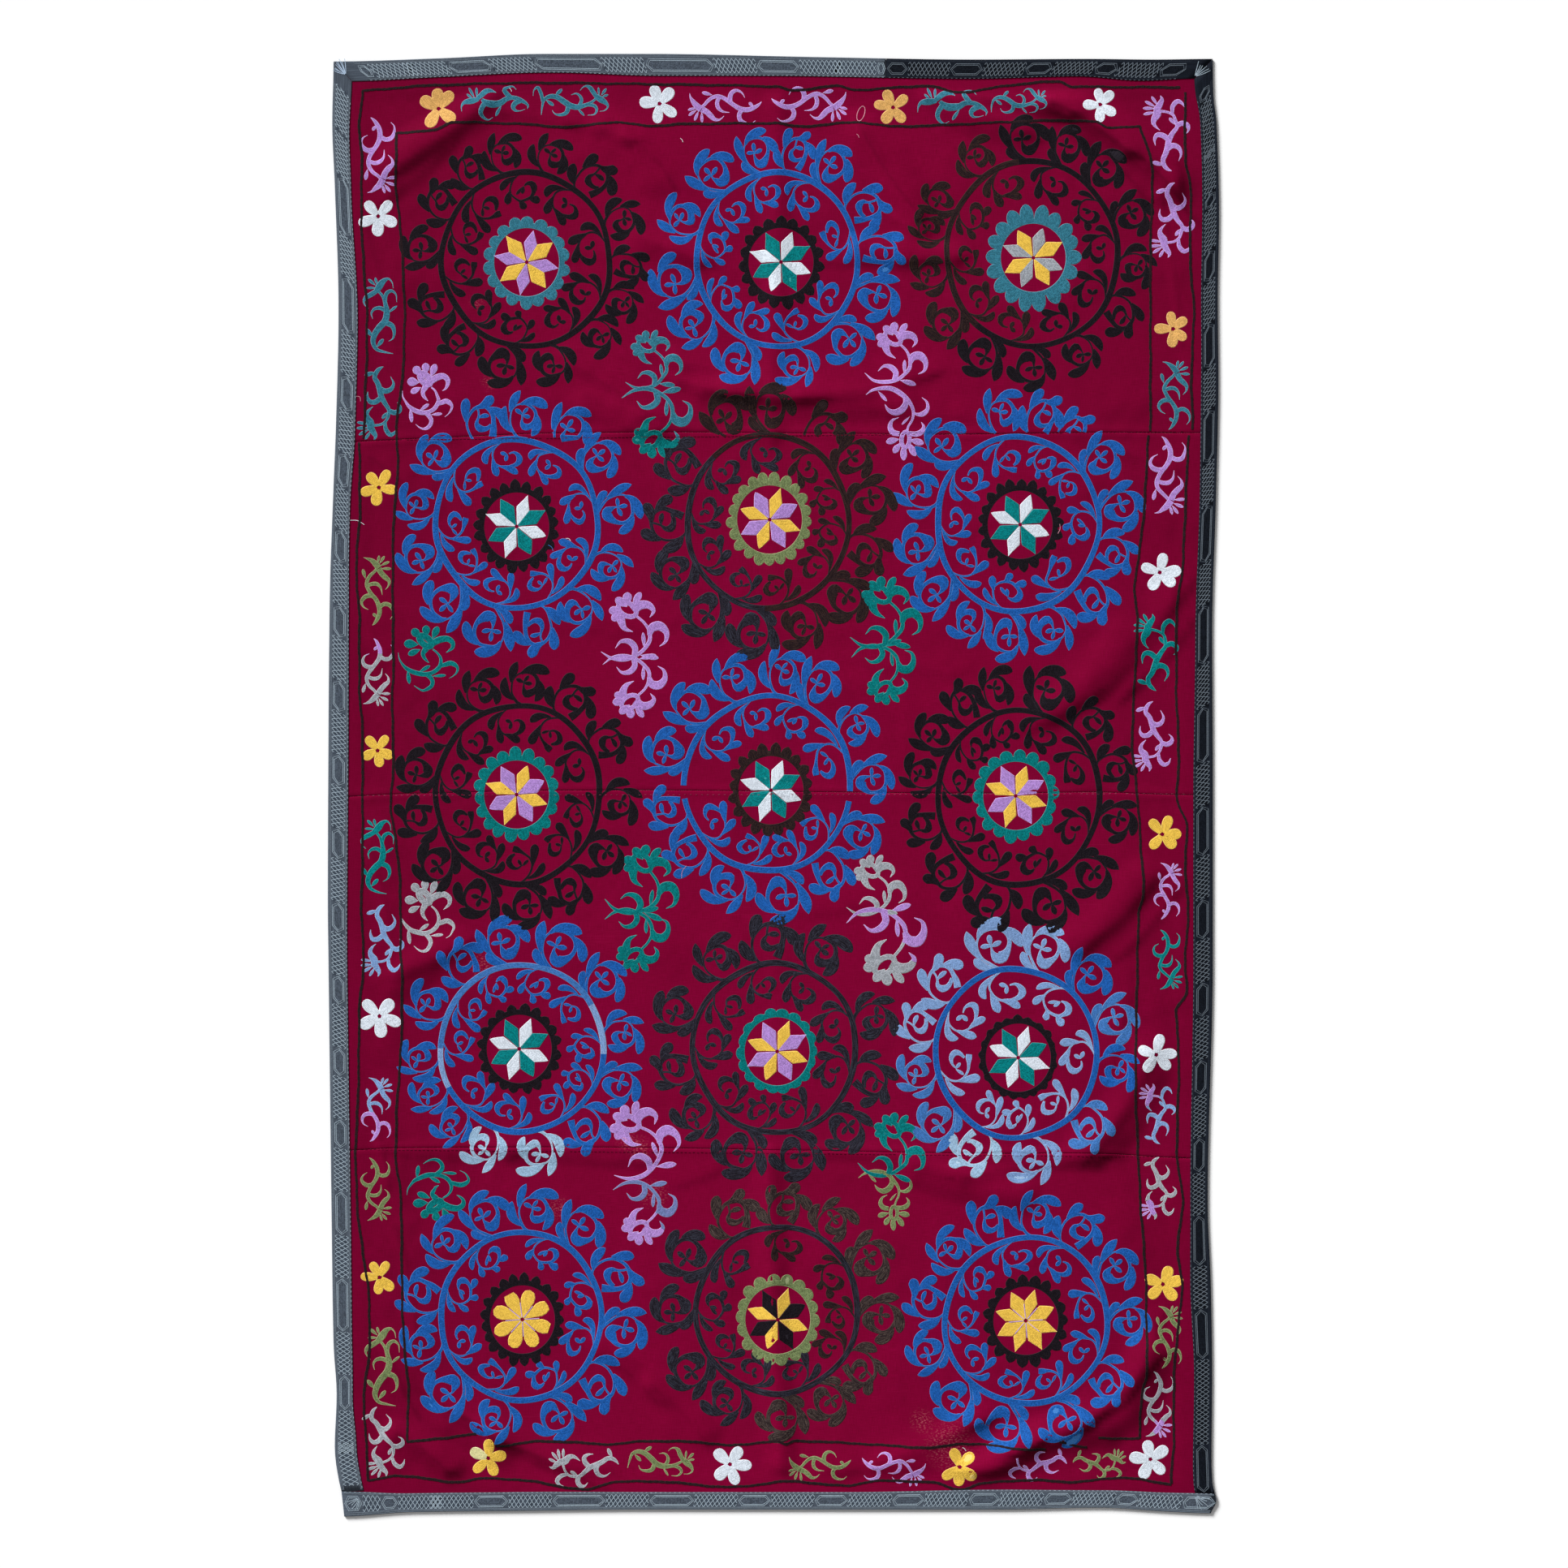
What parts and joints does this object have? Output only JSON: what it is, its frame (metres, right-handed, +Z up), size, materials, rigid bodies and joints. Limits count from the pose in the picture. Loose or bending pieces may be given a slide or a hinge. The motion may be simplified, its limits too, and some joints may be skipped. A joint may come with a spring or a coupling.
{
  "type": "suzani embroidered textile",
  "caption": "Large hand-embroidered cotton cover with rosettes and scrolling vines, edged with a folded patterned tape, lying flat.",
  "frame": {"origin": "on the surface it lies on, under the middle of its outline", "axes": "+X across its width, +Y along its length towards the head, +Z up, out of the embroidered face"},
  "size_m": [1.416, 2.324, 0.0083],
  "materials": {
    "cotton_ground": "matte",
    "grey_tape": "matte",
    "navy_tape": "matte",
    "embroidery_thread": "satin"
  },
  "bodies": {
    "root": {"panel_1": "cotton_ground", "panel_2": "cotton_ground", "panel_3": "cotton_ground", "panel_4": "cotton_ground", "binding_left": "grey_tape", "binding_bottom": "grey_tape", "binding_top_grey": "grey_tape", "binding_top_navy": "navy_tape", "binding_right": "navy_tape"}
  },
  "joints": []
}
